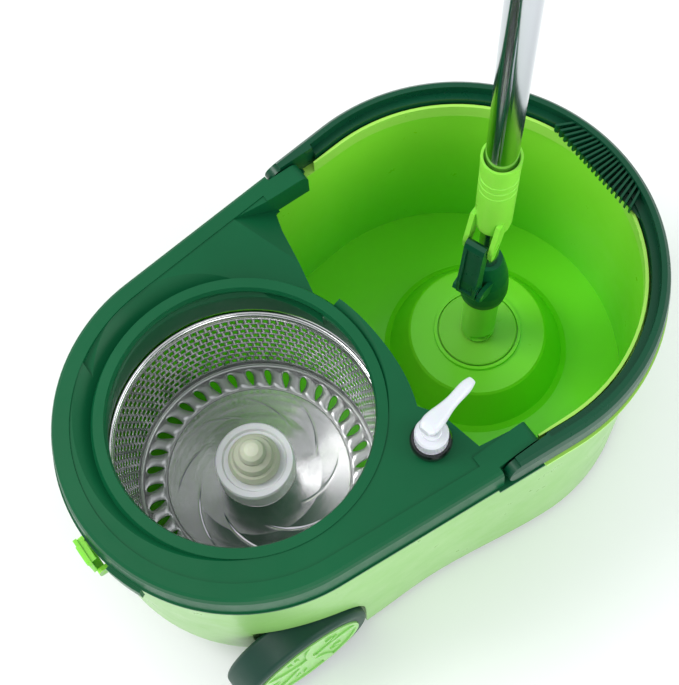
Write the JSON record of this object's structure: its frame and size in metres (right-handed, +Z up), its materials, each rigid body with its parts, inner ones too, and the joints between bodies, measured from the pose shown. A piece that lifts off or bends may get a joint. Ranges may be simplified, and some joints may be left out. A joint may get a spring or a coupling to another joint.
{
  "type": "spin mop",
  "caption": "Spin mop bucket with a steel wringing basket, washing base, soap pump, folding carry handle, wheels and a telescopic mop pole standing in the tank.",
  "frame": {"origin": "middle of the footprint on the floor: centre of the bounding box, at its bottom", "axes": "+X from the spin basket end towards the washing tank end, +Y across the bucket away from the soap pump, +Z up along the mop pole"},
  "size_m": [0.5051, 0.3178, 1.061],
  "materials": {
    "pale_green": "moulded gloss",
    "dark_green": "moulded satin",
    "lime": "moulded gloss",
    "tyre_green": "soft satin",
    "black_gloss": "high gloss",
    "white_plastic": "moulded gloss",
    "ivory": "satin",
    "bottle": "satin",
    "stainless": "brushed",
    "chrome": "polished",
    "steel": "turned",
    "grey_rubber": "matt",
    "grip": "textured",
    "nylon": "satin"
  },
  "bodies": {
    "bucket": {"bucket_body": "pale_green", "axle_pins": "steel", "rubber_feet": "grey_rubber", "basket_spindle": "steel", "wash_pin": "steel"},
    "cover": {"basket_cover": "dark_green", "soap_bottle": "bottle", "pump_ring": "black_gloss", "pump_cap": "white_plastic", "pump_cylinder": "white_plastic", "pump_dip_tube": "nylon", "pump_spring": "steel", "handle_pins": "dark_green"},
    "handle": {"carry_handle": "dark_green"},
    "latch": {"cover_latch": "lime"},
    "pump": {"pump_head": "white_plastic"},
    "near_wheel": {"wheel_near": "tyre_green", "hub_cap_near": "lime"},
    "far_wheel": {"wheel_far": "tyre_green", "hub_cap_far": "lime"},
    "basket": {"spin_basket": "stainless", "basket_hub": "white_plastic", "hub_nub": "ivory", "basket_bushing": "nylon"},
    "turntable": {"wash_turntable": "lime"},
    "mop": {"cone_housing": "dark_green", "cone_ring": "lime", "cone_bearing": "steel", "lower_tube": "stainless", "lever_pin": "steel"},
    "lever": {"lock_lever": "dark_green"},
    "upper_pole": {"pole_sleeve": "lime", "upper_tube": "chrome", "drive_nut": "nylon", "pole_grip": "grip", "pole_end_cap": "lime"},
    "drive": {"drive_socket": "lime", "socket_seat": "black_gloss", "twist_rod": "steel"}
  },
  "joints": [
    {"name": "cover_lift", "type": "slide", "parent": "bucket", "child": "cover", "axis": [0, 0, 1], "range_m": [0, 0.08]},
    {"name": "carry_handle_swing", "type": "hinge", "parent": "cover", "child": "handle", "pos_m": [0.032, 0, 0.226], "axis": [0, -1, 0], "range_deg": [0, 50]},
    {"name": "latch_flip", "type": "hinge", "parent": "bucket", "child": "latch", "pos_m": [-0.2455, -0.0119, 0.196], "axis": [0, -1, 0], "range_deg": [0, 75]},
    {"name": "pump_press", "type": "slide", "parent": "cover", "child": "pump", "axis": [0, 0, -1], "range_m": [0, 0.01], "stiffness_N_per_m": 250, "springref_m": -0.006, "deforming": ["pump_spring"]},
    {"name": "near_wheel_roll", "type": "hinge", "parent": "bucket", "child": "near_wheel", "pos_m": [-0.158, -0.128, 0.059], "axis": [0, 1, 0], "continuous": true},
    {"name": "far_wheel_roll", "type": "hinge", "parent": "bucket", "child": "far_wheel", "pos_m": [-0.158, 0.128, 0.059], "axis": [0, 1, 0], "continuous": true},
    {"name": "basket_spin", "type": "hinge", "parent": "bucket", "child": "basket", "pos_m": [-0.104, 0, 0.077], "axis": [0, 0, 1], "continuous": true},
    {"name": "wash_spin", "type": "hinge", "parent": "bucket", "child": "turntable", "pos_m": [0.1226, 0, 0.062], "axis": [0, 0, 1], "continuous": true},
    {"name": "mop_lift", "type": "slide", "parent": "bucket", "child": "mop", "axis": [0, 0, 1], "range_m": [0, 0.3]},
    {"name": "lock_lever_flip", "type": "hinge", "parent": "mop", "child": "lever", "pos_m": [0.09817, -0.00889, 0.196], "axis": [0.342, -0.9397, 0], "range_deg": [0, 70]},
    {"name": "pole_stroke", "type": "slide", "parent": "mop", "child": "upper_pole", "axis": [0, 0, 1], "range_m": [0, 0.18]},
    {"name": "drive_spin", "type": "hinge", "parent": "mop", "child": "drive", "pos_m": [0.1226, 0, 0.13], "axis": [0, 0, 1], "continuous": true}
  ],
  "couplings": [
    {"joint": "drive_spin", "follows": "pole_stroke", "rad_per_m": -104.72},
    {"joint": "wash_spin", "follows": "pole_stroke", "rad_per_m": -104.72}
  ]
}
